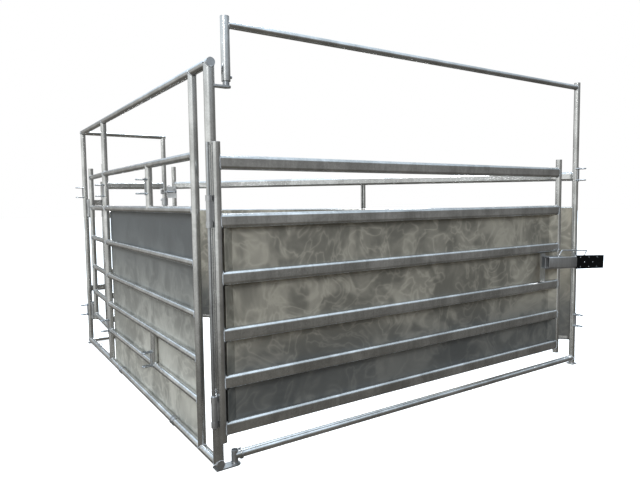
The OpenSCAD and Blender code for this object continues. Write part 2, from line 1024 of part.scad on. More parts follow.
module rear_gate_rails() {
  color(zinc_light)
    on_rear_gate()
      oval_rails(rear_gap, rear_len, drop_rail_z);
}

// The short upright between the two top rails
module rear_gate_brace() {
  color(zinc)
    on_rear_gate()
      translate([rear_brace_x, 0, 0])
        intersection() {
          tube_z(post_d, drop_rail_z[1] + oval_h / 2 + cope_gap, drop_rail_z[0] - oval_h / 2 - cope_gap);
          translate([-post_d, -oval_t / 2 + cope_gap, 0])
            cube([2 * post_d, post_d, drop_rail_z[0]]);
        }
}

// The sheet on the rails' inner side
module rear_gate_sheet() {
  color(zinc_dark)
    on_rear_gate()
      mirror([0, 1, 0])
        panel_sheet(rear_gap + post_d / 2 + sheet_inset, rear_len - post_d / 2 - sheet_inset, drop_rail_z);
}

module rear_gate_knuckles() {
  color(zinc_dark)
    on_rear_gate()
      translate([rear_axis[0], rear_axis[1], 0])
        hinge_knuckles(-far_post_off / 2, post_d);
}

// The bore of one of the rear bolt's guides or of its keeper, at place x, with its clearance all round
module bolt_bore(x, fit) {
  translate([x - 1, rear_bolt_y, rear_bolt_z])
    rotate([0, 90, 0])
      cylinder(d = rear_bolt_d + 2 * fit, h = guide_t + 2);
}

// The latch plate beside the latch stile, the loop on its top, and the rear bolt's two guides
module rear_gate_latch_plate() {
  plate_x = rear_gap - 80;
  plate_y = -post_d / 2 - 5;
  color(zinc_dark)
    on_rear_gate() {
      translate([plate_x, plate_y, rear_bolt_z - 70])
        cube([rear_guide_gap + guide_t + 4, 5 - cope_gap, 130]);
      translate([plate_x + 36, plate_y - 1, rear_bolt_z + 48])
        rotate([90, 0, 0])
          rotate_extrude(angle = 180)
            translate([26, 0])
              circle(d = 8);
      for (x = [plate_x + 4, plate_x + rear_guide_gap])
        difference() {
          translate([x, rear_bolt_y - 14, rear_bolt_z - 15])
            cube([guide_t, plate_y - rear_bolt_y + 14 + eps, 30]);
          bolt_bore(x, pin_fit);
        }
    }
}

module rear_latch_bolt() {
  color(zinc_light)
    on_rear_gate()
      translate([wall_tube_d / 2 + 11, rear_bolt_y, rear_bolt_z]) {
        rotate([0, 90, 0])
          cylinder(d = rear_bolt_d, h = 146);
        translate([112, 0, 0])
          cylinder(d = 10, h = 34);
      }
}

corner_post();
slot_post();
strike_post();
rear_post();
side_top_bar();
side_bottom_bar();
side_rails();
side_sheet();
side_mid_uprights();
side_bar_caps();
bar_couplers();
coupler_bolts();
ground_pin();
connector_plates();
connector_eye_legs();
connector_eye_bends();
front_hinge_collars();
side_hinge_collars();
rear_hinge_collars();
hinge_pins();
top_bracket();
frame_pins();
foot_plates();
over_sleeve();
over_caps();
over_bar();
over_post();
over_bottom_bar();
over_bottom_sleeve();
sleeve_screw();
latch_striker();
hoop_bar();
hoop_post();
hoop_collar();
hoop_lower_post();
hoop_bottom_bar();
infill_stile();
infill_rails();
rear_keeper();
gate_posts();
gate_rails();
gate_sheet();
gate_caps();
gate_knuckles();
latch_guide();
latch_bolt();
latch_pad();
latch_screws();
latch_handle();
man_gate_stiles();
man_gate_rails();
man_gate_knuckles();
rear_gate_stiles();
rear_gate_rails();
rear_gate_brace();
rear_gate_sheet();
rear_gate_knuckles();
rear_gate_latch_plate();
rear_latch_bolt();
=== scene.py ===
"""Finishes, welds and small fittings of a galvanised livestock pen, laid out as an add-on."""

import json
import math

import bmesh
import bpy
from mathutils import Euler, Matrix, Vector


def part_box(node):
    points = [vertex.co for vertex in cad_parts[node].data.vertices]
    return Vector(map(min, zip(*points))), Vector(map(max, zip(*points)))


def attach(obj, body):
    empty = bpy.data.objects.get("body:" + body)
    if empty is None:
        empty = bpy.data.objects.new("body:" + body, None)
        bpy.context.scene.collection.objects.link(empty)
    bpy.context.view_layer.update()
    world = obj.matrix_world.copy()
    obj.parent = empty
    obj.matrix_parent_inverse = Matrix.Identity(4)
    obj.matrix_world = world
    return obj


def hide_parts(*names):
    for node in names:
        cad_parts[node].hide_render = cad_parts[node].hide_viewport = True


bl_info = {
    "name": "Livestock Panel Gate",
    "version": (1, 0, 0),
    "blender": (4, 5, 0),
    "location": "View3D > Sidebar > Panel Gate",
    "description": "Gives the packed pen its zinc finishes, weld beads, latch pieces and stage",
    "category": "Object",
}

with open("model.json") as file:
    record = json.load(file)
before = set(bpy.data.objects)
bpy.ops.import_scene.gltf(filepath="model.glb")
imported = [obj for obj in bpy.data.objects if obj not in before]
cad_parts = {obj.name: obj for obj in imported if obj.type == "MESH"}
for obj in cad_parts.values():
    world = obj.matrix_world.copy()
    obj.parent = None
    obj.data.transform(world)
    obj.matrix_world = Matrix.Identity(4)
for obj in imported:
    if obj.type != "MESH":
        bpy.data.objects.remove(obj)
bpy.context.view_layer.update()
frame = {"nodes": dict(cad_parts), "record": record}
MM = 0.001
POST_HEIGHT = 1.0  # an upright taller than this is a post
BEAD_OFFSET = 0.3  # share of a bead's radius that its centre stands off the metal
RAIL_SEAM_POINTS = 32
POST_SEAM_POINTS = 28
GROOVE_RISE = 0.52  # shares of a rail's half width, from its top down and outward
GROOVE_OUT = 0.88
UP = Vector((0, 0, 1))
WHITE = (1.0, 1.0, 1.0, 1.0)


# ---- node trees -------------------------------------------------------------------------------


class Wire:
    """An output socket that can be used in sums. Each operator adds one Math node."""

    def __init__(self, nodes, socket):
        self.nodes = nodes
        self.socket = socket

    def math(self, operation, first, second):
        return self.nodes.add("ShaderNodeMath", 0, {"operation": operation}, {0: first, 1: second})

    def __add__(self, other):
        return self.math("ADD", self, other)

    def __sub__(self, other):
        return self.math("SUBTRACT", self, other)

    def __rsub__(self, other):
        return self.math("SUBTRACT", other, self)

    def __mul__(self, other):
        return self.math("MULTIPLY", self, other)

    def __pow__(self, other):
        return self.math("POWER", self, other)

    def __abs__(self):
        return self.math("ABSOLUTE", self, 0.0)

    __radd__ = __add__
    __rmul__ = __mul__


class Nodes:
    """Adds nodes to one tree. Settings are set before the values or links of the sockets."""

    def __init__(self, tree):
        self.tree = tree

    def add(self, kind, output=0, settings=None, values=None):
        made = self.tree.nodes.new(kind)
        for key, value in (settings or {}).items():
            setattr(made, key, value)
        for key, value in (values or {}).items():
            if isinstance(value, Wire):
                self.tree.links.new(value.socket, made.inputs[key])
            else:
                made.inputs[key].default_value = value
        return Wire(self, made.outputs[output])

    def mix(self, factor, first, second):
        values = {0: factor, 6: first, 7: second}
        return self.add("ShaderNodeMix", 2, {"data_type": "RGBA"}, values)

    def step(self, value, low, high):
        """0 below low, 1 above high, and a smooth rise between them."""
        settings = {"interpolation_type": "SMOOTHSTEP"}
        return self.add("ShaderNodeMapRange", 0, settings, {0: value, 1: low, 2: high})


class Finish(Nodes):
    """One material: its tree, its Principled shader, and textures in object coordinates."""

    def __init__(self, name):
        self.material = bpy.data.materials.new(name)
        self.material.use_nodes = True
        super().__init__(self.material.node_tree)
        self.shader = self.tree.nodes["Principled BSDF"]
        self.place = self.add("ShaderNodeTexCoord", "Object")

    def stretched(self, scale):
        return self.add("ShaderNodeMapping", 0, None, {"Vector": self.place, "Scale": scale})

    def noise(self, scale, detail=4.0, distortion=0.0, place=None):
        values = {"Scale": scale, "Detail": detail, "Distortion": distortion}
        values["Vector"] = place or self.place
        return self.add("ShaderNodeTexNoise", 0, None, values)

    def cells(self, size):
        """A random value for each crystal of the zinc."""
        values = {"Vector": self.place, "Scale": 1 / size}
        colour = self.add("ShaderNodeTexVoronoi", "Color", None, values)
        return self.add("ShaderNodeSeparateColor", 0, None, {0: colour})

    def set(self, **sockets):
        for name, value in sockets.items():
            socket = self.shader.inputs[name.replace("_", " ")]
            if isinstance(value, Wire):
                self.tree.links.new(value.socket, socket)
            else:
                socket.default_value = value

    def bump(self, height, depth):
        values = {"Strength": 1.0, "Distance": depth, "Height": height}
        self.set(Normal=self.add("ShaderNodeBump", 0, None, values))


def rgba(colour):
    return (*colour, 1.0)


# ---- finishes ---------------------------------------------------------------------------------


def zinc_finish(name, light, dark, roughness, sizes):
    """Hot-dip zinc: soft clouds in two greys, run marks down the tube, and a few dark specks."""
    zinc = Finish(name)
    clouds = zinc.noise(sizes.cloud_scale, detail=3.0, distortion=0.6)
    runs = zinc.noise(1.0, detail=3.0, place=zinc.stretched((40.0, 40.0, 2.0)))
    crystal = zinc.cells(sizes.crystal)
    tone = zinc.step(clouds * 0.72 + runs * 0.22 + crystal * 0.06, 0.30, 0.74)
    specks = zinc.step(zinc.noise(190.0, 2.0), 0.74, 0.80)
    grey = zinc.mix(tone, rgba(dark), rgba(light))
    zinc.set(Base_Color=zinc.mix(specks * 0.4, grey, rgba([part * 0.4 for part in dark])))
    zinc.set(Metallic=0.96)
    zinc.set(Roughness=roughness + (0.5 - tone) * 0.08 + crystal * 0.02 + specks * 0.2)
    zinc.bump(zinc.noise(16.0, 2.0) * 0.5 + zinc.noise(150.0, 2.0) * 0.06 + crystal * 0.01, 0.0009)
    return zinc.material


class Shade:
    """A sheet's shading: its share below the height low and above the height high."""

    def __init__(self, low, high, foot, top, colour):
        self.low = low
        self.high = high
        self.foot = foot
        self.top = top
        self.colour = colour


def sheet_finish(name, dark, pale, shade, sizes):
    """Zinc sheet: large soft clouds and a few curved wipe marks; shade says where it is darker."""
    sheet = Finish(name)
    blotches = sheet.noise(sizes.blotch_scale, detail=3.0, distortion=1.2)
    broad = sheet.noise(sizes.blotch_scale * 0.45, detail=2.0, distortion=0.6)
    wisps = sheet.noise(sizes.blotch_scale * 1.3, detail=2.0, distortion=2.0)
    marks = (1.0 - abs(wisps * 2.0 - 1.0)) ** 12.0
    clouds = sheet.step(blotches, 0.38, 0.64) * 0.45 + sheet.step(broad, 0.36, 0.64) * 0.30
    tone = sheet.step(clouds + marks * 0.42, 0.0, 1.0)
    grain = sheet.noise(420.0, 2.0)
    height = sheet.add("ShaderNodeSeparateXYZ", "Z", None, {0: sheet.place})
    share = sheet.step(height, shade.low, shade.high) * (shade.top - shade.foot) + shade.foot
    colour = sheet.mix(tone, rgba(dark), rgba(pale))
    colour = sheet.mix(grain * 0.14, colour, rgba([part * 0.7 for part in dark]))
    sheet.set(Base_Color=sheet.mix(share, colour, rgba(shade.colour)))
    sheet.set(Metallic=0.55)
    sheet.set(Roughness=0.40 + tone * 0.16 + grain * 0.06)
    sheet.bump(sheet.noise(2.2, 2.0) * 4.0 + sheet.noise(11.0, 2.0) * 0.35 + grain * 0.03, 0.0014)
    return sheet.material


def pad_finish(name, colour):
    """Black moulded rubber: fine pebble, dull, with pale scuffs."""
    pad = Finish(name)
    pebble = pad.noise(700.0, 3.0)
    streaks = pad.stretched((0.4, 1.0, 1.6))
    scuffs = pad.step(pad.noise(26.0, detail=5.0, distortion=0.6, place=streaks), 0.60, 0.76)
    worn = [part + 0.012 for part in colour]
    pad.set(Base_Color=pad.mix(scuffs * 0.6, rgba(colour), rgba(worn)))
    pad.set(Roughness=0.72 + pebble * 0.12 + scuffs * 0.08, Specular_IOR_Level=0.08)
    pad.bump(pebble, 0.0004)
    return pad.material


def weld_finish(name, colour):
    """Zinc over a weld: rough, with darker hollows."""
    weld = Finish(name)
    pits = weld.noise(330.0, 4.0)
    tone = weld.step(weld.noise(22.0, 3.0), 0.35, 0.65)
    weld.set(Base_Color=weld.mix(tone, rgba([part * 0.72 for part in colour]), rgba(colour)))
    weld.set(Metallic=0.9)
    weld.set(Roughness=0.42 + pits * 0.2)
    weld.bump(pits, 0.0006)
    return weld.material


# ---- reading the frame ------------------------------------------------------------------------


def solids(node, turn=None):
    """The box of each separate solid of a CAD node, lowest first, after an optional turn."""
    shell = bmesh.new()
    shell.from_mesh(frame["nodes"][node].data)
    if turn:
        bmesh.ops.transform(shell, matrix=turn, verts=shell.verts)
    bmesh.ops.remove_doubles(shell, verts=shell.verts, dist=0.02 * MM)
    left = set(shell.verts)
    boxes = []
    while left:
        found = [left.pop()]
        for vert in found:
            near = [edge.other_vert(vert) for edge in vert.link_edges]
            fresh = [other for other in near if other in left]
            left.difference_update(fresh)
            found.extend(fresh)
        low = Vector(min(vert.co[i] for vert in found) for i in range(3))
        high = Vector(max(vert.co[i] for vert in found) for i in range(3))
        boxes.append((low, high))
    shell.free()
    return sorted(boxes, key=lambda box: [round(box[0][i], 3) for i in (2, 0, 1)])


def around(boxes):
    """The box around some boxes."""
    low = Vector(min(box[0][i] for box in boxes) for i in range(3))
    high = Vector(max(box[1][i] for box in boxes) for i in range(3))
    return low, high


def as_post(box):
    """The centre and radius of an upright tube's box."""
    low, high = box
    middle = (low + high) / 2
    return Vector((middle.x, middle.y, 0)), min(high.x - low.x, high.y - low.y) / 2


def posts(*nodes):
    """The tall uprights among the solids of some nodes."""
    tall = [box for node in nodes for box in solids(node) if box[1].z - box[0].z > POST_HEIGHT]
    return [as_post(box) for box in sorted(tall, key=lambda box: (box[0].x, box[0].y))]


# ---- weld seams -------------------------------------------------------------------------------


def tube_seam(post, reach, height, half_w, half_h, bead):
    """The line where a level rail, reaching away from a post, meets the post's round face."""
    centre, radius = post
    across = Vector((-reach.y, reach.x, 0))
    flat = half_h - half_w
    line = []
    for step in range(RAIL_SEAM_POINTS):
        turn = 2 * math.pi * (step + 0.5) / RAIL_SEAM_POINTS
        side = (half_w + bead * BEAD_OFFSET) * math.cos(turn)
        rise = math.copysign(flat, math.sin(turn)) + (half_w + bead * BEAD_OFFSET) * math.sin(turn)
        out = math.sqrt(max((radius + bead * BEAD_OFFSET) ** 2 - side**2, 0))
        line.append(centre + reach * out + across * side + UP * (height + rise))
    return line


def rail_seams(rails, ends, bead, half_w=None):
    """Both end seams of every rail of a node between two posts; oval rails give half_w."""
    (first, _), (second, _) = ends
    along = (second - first).normalized()
    seams = []
    for low, high in solids(rails):
        half_h = (high.z - low.z) / 2
        height = (low.z + high.z) / 2
        seams.append(tube_seam(ends[0], along, height, half_w or half_h, half_h, bead))
        seams.append(tube_seam(ends[1], -along, height, half_w or half_h, half_h, bead))
    return seams


def post_seam(post, bar, way, bead):
    """The line where an upright meets a level bar that runs over or under it along Y."""
    centre, radius = post
    low, high = bar
    bar_r = (high.z - low.z) / 2
    line = []
    for step in range(POST_SEAM_POINTS):
        turn = 2 * math.pi * step / POST_SEAM_POINTS
        side = (radius + bead * BEAD_OFFSET) * math.cos(turn)
        along = (radius + bead * BEAD_OFFSET) * math.sin(turn)
        out = math.sqrt(max((bar_r + bead * BEAD_OFFSET) ** 2 - side**2, 0))
        line.append(centre + Vector((side, along, (low.z + high.z) / 2 + way * out)))
    return line


def stitches(start, end, length, pitch):
    """Short straight seams, spaced evenly along a line."""
    run = end - start
    count = max(int(run.length / pitch), 1)
    seams = []
    for step in range(count):
        middle = start + run * ((step + 0.5) / count)
        half = run.normalized() * length / 2
        seams.append([middle - half, middle, middle + half])
    return seams


def sheet_stitches(sheet, rails, ends, side, half_w, sizes):
    """Stitch welds above every rail that a sheet covers, on the sheet's side of the rails."""
    (first, first_r), (second, second_r) = ends
    along = (second - first).normalized()
    across = Vector((-along.y, along.x, 0)) * side
    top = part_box(sheet)[1].z
    seams = []
    for _, high in solids(rails):
        height = high.z - half_w * GROOVE_RISE
        if height < top:
            offset = across * half_w * GROOVE_OUT + UP * height
            start = first + along * (first_r + sizes.stitch) + offset
            end = second - along * (second_r + sizes.stitch) + offset
            seams += stitches(start, end, sizes.stitch, sizes.stitch_pitch)
    return seams


def all_seams(sizes):
    """Every weld seam of the pen, by the body that carries it."""
    bead = sizes.bead
    side_posts = posts("corner_post", "slot_post", "strike_post", "rear_post")
    top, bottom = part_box("side_top_bar"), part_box("side_bottom_bar")
    sleeve_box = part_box("over_sleeve")
    far = posts("over_post")[0]
    wall = side_posts[1:3]  # the slot post and the strike post carry the rails
    gate_ends, rear_ends = posts("gate_posts"), posts("rear_gate_stiles")
    rails_low, rails_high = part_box("gate_rails")
    oval_w = (rails_high.y - rails_low.y) / 2
    lowest_low, lowest_high = solids("side_rails")[0]
    round_w = (lowest_high.z - lowest_low.z) / 2
    pen = rail_seams("side_rails", wall, bead)
    pen += [post_seam(post, top, -1, bead) for post in side_posts]
    pen += [post_seam(post, bottom, 1, bead) for post in side_posts]
    pen += rail_seams("over_bar", [as_post(sleeve_box), far], bead)
    pen += rail_seams("over_bottom_bar", [as_post(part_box("over_bottom_sleeve")), far], bead)[1:]
    pen += rail_seams("infill_rails", posts("infill_stile", "hoop_lower_post"), bead, oval_w)
    pen += sheet_stitches("side_sheet", "side_rails", wall, -1, round_w, sizes)
    front = rail_seams("gate_rails", gate_ends, bead, oval_w)
    front += sheet_stitches("gate_sheet", "gate_rails", gate_ends, 1, oval_w, sizes)
    back = rail_seams("rear_gate_rails", rear_ends, bead, oval_w)
    back += sheet_stitches("rear_gate_sheet", "rear_gate_rails", rear_ends, -1, oval_w, sizes)
    small = rail_seams("man_gate_rails", posts("man_gate_stiles"), bead)
    return {"pen_frame": pen, "front_gate": front, "rear_gate": back, "man_gate": small}


# ---- geometry trees ---------------------------------------------------------------------------


def new_tree(name, inputs):
    """A geometry tree with named inputs, its Nodes, and a wire for each input."""
    tree = bpy.data.node_groups.new(name, "GeometryNodeTree")
    tree.interface.new_socket("Geometry", in_out="OUTPUT", socket_type="NodeSocketGeometry")
    tree.interface.new_socket("Geometry", in_out="INPUT", socket_type="NodeSocketGeometry")
    for label, kind in inputs:
        tree.interface.new_socket(label, in_out="INPUT", socket_type="NodeSocket" + kind)
    source = tree.nodes.new("NodeGroupInput")
    nodes = Nodes(tree)
    wires = {socket.name: Wire(nodes, socket) for socket in source.outputs if socket.name}
    return nodes, wires


def end_tree(nodes, shape, material):
    """Realizes the instances, smooths them, gives them their material and joins the output."""
    real = nodes.add("GeometryNodeRealizeInstances", 0, None, {0: shape})
    smooth = nodes.add("GeometryNodeSetShadeSmooth", 0, None, {0: real})
    values = {"Geometry": smooth, "Material": material}
    painted = nodes.add("GeometryNodeSetMaterial", 0, None, values)
    target = nodes.tree.nodes.new("NodeGroupOutput")
    nodes.tree.links.new(painted.socket, target.inputs[0])
    return nodes.tree


def bead_tree():
    """Overlapping beads along every curve, each turned to the curve and a little uneven."""
    nodes, given = new_tree(
        "weld beads",
        [("Bead", "Float"), ("Pitch", "Float"), ("Seed", "Int"), ("Material", "Material")],
    )
    curve = nodes.add("GeometryNodeMeshToCurve", 0, None, {0: given["Geometry"]})
    spacing = {"Curve": curve, "Length": given["Pitch"]}
    points = nodes.add("GeometryNodeCurveToPoints", 0, {"mode": "LENGTH"}, spacing)
    turned = Wire(nodes, points.socket.node.outputs["Rotation"])
    values = {"Segments": 8, "Rings": 5, "Radius": given["Bead"]}
    ball = nodes.add("GeometryNodeMeshUVSphere", 0, None, values)
    values = {"Geometry": ball, "Scale": (1.0, 1.0, 0.62)}
    flat = nodes.add("GeometryNodeTransform", 0, None, values)
    least, most = 0.82, 1.14
    values = {2: least, 3: most, 8: given["Seed"]}
    size = nodes.add("FunctionNodeRandomValue", 1, {"data_type": "FLOAT"}, values)
    values = {"Points": points, "Instance": flat, "Rotation": turned, "Scale": size}
    beads = nodes.add("GeometryNodeInstanceOnPoints", 0, None, values)
    return end_tree(nodes, beads, given["Material"])


def copies_tree():
    """A copy of one part on every point."""
    nodes, given = new_tree("copies on points", [("Part", "Object"), ("Material", "Material")])
    space = {"transform_space": "ORIGINAL"}
    part = nodes.add("GeometryNodeObjectInfo", "Geometry", space, {"Object": given["Part"]})
    values = {"Points": given["Geometry"], "Instance": part}
    copies = nodes.add("GeometryNodeInstanceOnPoints", 0, None, values)
    return end_tree(nodes, copies, given["Material"])


def grown(piece, tree, values):
    """Runs a geometry tree on a piece and keeps the result as its plain mesh."""
    modifier = piece.modifiers.new("grown", "NODES")
    modifier.node_group = tree
    for socket in tree.interface.items_tree:
        if socket.in_out == "INPUT" and socket.name in values:
            modifier[socket.identifier] = values[socket.name]
    graph = bpy.context.evaluated_depsgraph_get()
    mesh = bpy.data.meshes.new_from_object(piece.evaluated_get(graph), depsgraph=graph)
    piece.modifiers.clear()
    piece.data = mesh
    return piece


# ---- plain meshes -----------------------------------------------------------------------------


def new_object(name, mesh):
    thing = bpy.data.objects.new(name, mesh)
    bpy.context.scene.collection.objects.link(thing)
    return thing


def from_bmesh(name, shape, material=None, smooth=True):
    bmesh.ops.recalc_face_normals(shape, faces=shape.faces)
    mesh = bpy.data.meshes.new(name)
    shape.to_mesh(mesh)
    shape.free()
    if material:
        mesh.materials.append(material)
    for face in mesh.polygons:
        face.use_smooth = smooth
    return new_object(name, mesh)


def from_lines(name, lines, closed_from=3):
    """Loose edges along each line; a line of more points than closed_from is closed."""
    points, edges = [], []
    for line in lines:
        start = len(points)
        points += line
        edges += [(start + i, start + i + 1) for i in range(len(line) - 1)]
        if len(line) > closed_from:
            edges.append((start + len(line) - 1, start))
    mesh = bpy.data.meshes.new(name)
    mesh.from_pydata(points, edges, [])
    return new_object(name, mesh)


def bridge(shape, rings):
    """Quads between neighbouring rings of the same number of points."""
    for near, far in zip(rings, rings[1:]):
        for i in range(len(near)):
            j = (i + 1) % len(near)
            shape.faces.new((near[i], near[j], far[j], far[i]))


def ring_of(shape, centre, side, rise, radius, count):
    ring = []
    for i in range(count):
        turn = 2 * math.pi * i / count
        spot = centre + side * radius * math.cos(turn) + rise * radius * math.sin(turn)
        ring.append(shape.verts.new(spot))
    return ring


def filleted(points, radius, steps=8):
    """A path through points, with each corner rounded by an arc-like blend."""
    path = [points[0]]
    for before, corner, after in zip(points, points[1:], points[2:]):
        start = corner + (before - corner).normalized() * radius
        end = corner + (after - corner).normalized() * radius
        for step in range(steps + 1):
            t = step / steps
            path.append(start * (1 - t) ** 2 + corner * 2 * t * (1 - t) + end * t**2)
    return path + [points[-1]]


def swept_rod(name, path, radius, material, count=16):
    """A round rod along a path that lies in one upright plane, closed at both ends."""
    shape = bmesh.new()
    side = Vector((0, 1, 0))
    rings = []
    for i, point in enumerate(path):
        heading = (path[min(i + 1, len(path) - 1)] - path[max(i - 1, 0)]).normalized()
        rings.append(ring_of(shape, point, side, heading.cross(side), radius, count))
    bridge(shape, rings)
    shape.faces.new(rings[0])
    shape.faces.new(rings[-1])
    return from_bmesh(name, shape, material)


def rounded_outline(low, high, radius, steps=6):
    """A rectangle in Y and Z with round corners."""
    corners = [(high[0], high[1]), (low[0], high[1]), (low[0], low[1]), (high[0], low[1])]
    outline = []
    for quarter, (y, z) in enumerate(corners):
        inner_y = y - math.copysign(radius, y - (low[0] + high[0]) / 2)
        inner_z = z - math.copysign(radius, z - (low[1] + high[1]) / 2)
        for step in range(steps + 1):
            turn = math.pi / 2 * (quarter + step / steps)
            outline.append((inner_y + radius * math.cos(turn), inner_z + radius * math.sin(turn)))
    return outline


def box_tube(shape, x0, x1, low, high, wall, radius):
    """A hollow rectangular tube along X with round corners and softened ends."""
    lip = min(wall * 0.25, 1 * MM)

    def ring(x, inset):
        corner_low = (low[0] + inset, low[1] + inset)
        corner_high = (high[0] - inset, high[1] - inset)
        outline = rounded_outline(corner_low, corner_high, radius - inset)
        return [shape.verts.new((x, y, z)) for y, z in outline]

    rings = [
        ring(x0 + lip, 0),
        ring(x1 - lip, 0),
        ring(x1, lip),
        ring(x1, wall - lip),
        ring(x1 - lip, wall),
        ring(x0 + lip, wall),
        ring(x0, wall - lip),
        ring(x0, lip),
    ]
    bridge(shape, rings + rings[:1])


# ---- sizes and colours that a user would change ------------------------------------------------


def length(name, description, default):
    return bpy.props.FloatProperty(
        name=name, description=description, default=default, min=0.0, unit="LENGTH", precision=4
    )


def number(name, description, default):
    return bpy.props.FloatProperty(name=name, description=description, default=default)


def colour(name, description, default):
    return bpy.props.FloatVectorProperty(
        name=name, description=description, default=default, subtype="COLOR", min=0.0, max=1.0
    )


class PenFinishes(bpy.types.PropertyGroup):
    tube_light: colour("Tube, bright", "Bright grey of the tubes' zinc", (0.74, 0.745, 0.74))
    tube_dark: colour("Tube, dull", "Dull grey of the tubes' zinc", (0.42, 0.42, 0.41))
    fitting_light: colour("Fittings, bright", "Bright grey of the fittings", (0.60, 0.61, 0.62))
    fitting_dark: colour("Fittings, dull", "Dull grey of the fittings", (0.34, 0.34, 0.34))
    pin_light: colour("Pins, bright", "Bright grey of the pins and eyes", (0.52, 0.54, 0.56))
    pin_dark: colour("Pins, dull", "Dull grey of the pins and eyes", (0.30, 0.31, 0.32))
    sheet_pale: colour("Sheet, pale", "Pale clouds on the sheets", (0.455, 0.418, 0.345))
    sheet_dark: colour("Sheet, dark", "Dark ground of the sheets", (0.20, 0.188, 0.158))
    # Painted light: the wall sheet's two colours are the sheet colours made lighter, standing in
    # for the light that falls on the wall.
    lit_wall_pale: colour("Wall sheet, pale", "Pale clouds on the wall's sheet", (0.66, 0.64, 0.57))
    lit_wall_dark: colour("Wall sheet, dark", "Dark ground of the wall's sheet", (0.38, 0.37, 0.33))
    shade: colour("Shade", "Colour of the sheets where they are shaded", (0.07, 0.08, 0.09))
    foot_shade: number("Gate shade", "How far the gates' sheets darken at their foot", 0.62)
    foot_low: length("Gate shade foot", "Height below which the gates' sheets are darkest", 0.45)
    foot_high: length("Gate shade top", "Height above which they aren't shaded", 0.80)
    wall_shade: number("Wall shade", "How far the side wall's sheet darkens at its top", 0.86)
    wall_low: length("Wall shade foot", "Height below which the wall's sheet isn't shaded", 0.20)
    wall_high: length("Wall shade top", "Height above which it is darkest", 1.40)
    tube_rough: number("Tube roughness", "Roughness of the tubes' zinc", 0.17)
    fitting_rough: number("Fitting roughness", "Roughness of the fittings' zinc", 0.34)
    pin_rough: number("Pin roughness", "Roughness of the pins' zinc", 0.22)
    pad: colour("Pad", "Black of the striking pad", (0.0018, 0.0018, 0.002))
    weld: colour("Weld", "Grey of the weld beads", (0.56, 0.57, 0.58))
    cloud_scale: number("Cloud scale", "Zinc clouds per metre", 4.5)
    blotch_scale: number("Blotch scale", "Sheet blotches per metre", 3.0)
    crystal: length("Crystal", "Size of a zinc crystal", 9 * MM)


class PenWelds(bpy.types.PropertyGroup):
    bead: length("Bead", "Radius of a weld bead", 3.2 * MM)
    pitch: length("Pitch", "Distance between the beads of a seam", 3.4 * MM)
    stitch: length("Stitch", "Length of a stitch weld", 38 * MM)
    stitch_pitch: length("Stitch pitch", "Distance between stitch welds", 430 * MM)
    seed: bpy.props.IntProperty(name="Seed", description="Unevenness of the beads", default=7)


class PenLatch(bpy.types.PropertyGroup):
    rod: length("Handle rod", "Diameter of the handle's round bar", 10.6 * MM)
    lean: length("Handle lean", "How far the handle leans to its right", 46 * MM)
    foot: length("Handle foot", "Distance from the handle's box to its foot's centre", 6 * MM)
    bend: length("Handle bend", "Size of the handle's rounded corners", 14 * MM)
    corner: length("Bolt corner", "Corner radius of the slide bolt's tube", 8 * MM)
    wall: length("Bolt wall", "Wall thickness of the slide bolt's tube", 4 * MM)
    edge: length("Pad edge", "Rounding of the pad's edges", 2.2 * MM)


class PenStage(bpy.types.PropertyGroup):
    eye: bpy.props.FloatVectorProperty(
        name="Eye",
        description="Camera's place",
        default=(-1.188, -2.855, 1.518),
        subtype="TRANSLATION",
    )
    yaw: number("Yaw", "Camera's turn from +Y towards +X, radians", 0.587)
    pitch: number("Pitch", "Camera's tilt below level, radians", 0.0713)
    roll: number("Roll", "Camera's roll, radians", -0.0118)
    lens: number("Lens", "Focal length on a 36 mm sensor, millimetres", 30.92)
    sky: colour("Sky", "Light from above", (0.74, 0.87, 1.0))
    haze: colour("Haze", "Light from just above the horizon", (0.19, 0.187, 0.18))
    left: colour("Left", "Light from the left", (0.60, 0.61, 0.60))
    right: colour("Right", "Light from the right", (0.07, 0.069, 0.067))
    ground: colour("Ground", "Light from below", (0.085, 0.08, 0.07))
    sky_light: number("Sky light", "Strength of the sky", 1.7)
    floor: colour("Floor", "Colour of the floor", (0.92, 0.92, 0.92))
    floor_glow: number("Floor glow", "The floor's own light, to match the backdrop", 0.55)
    floor_reach: length("Floor reach", "Distance from the origin to the floor's edges", 60.0)


# ---- operators --------------------------------------------------------------------------------


def levelling():
    """The turn that lays the slide bolt's slanted axis along +X."""
    joints = {joint["name"]: joint for joint in frame["record"]["behaviour"]["joints"]}
    axis = Vector(joints["front_bolt_slide"]["axis"])
    return axis.rotation_difference(Vector((1, 0, 0))).to_matrix().to_4x4()


def on_bolt(piece, slot_name, node):
    """Turns a level piece back to the slide bolt's slant, in place of its CAD node."""
    piece.data.transform(levelling().inverted())
    placed(piece, "front_bolt", slot_name, node)


def placed(piece, body, slot_name, *nodes):
    """Says which body carries a piece and hides the CAD nodes it stands for; slot_name is not
    used.
    """
    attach(piece, body)
    if nodes:
        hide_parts(*nodes)


def dress(node, material):
    """Gives a CAD node one material all over."""
    mesh = frame["nodes"][node].data
    mesh.materials.clear()
    mesh.materials.append(material)


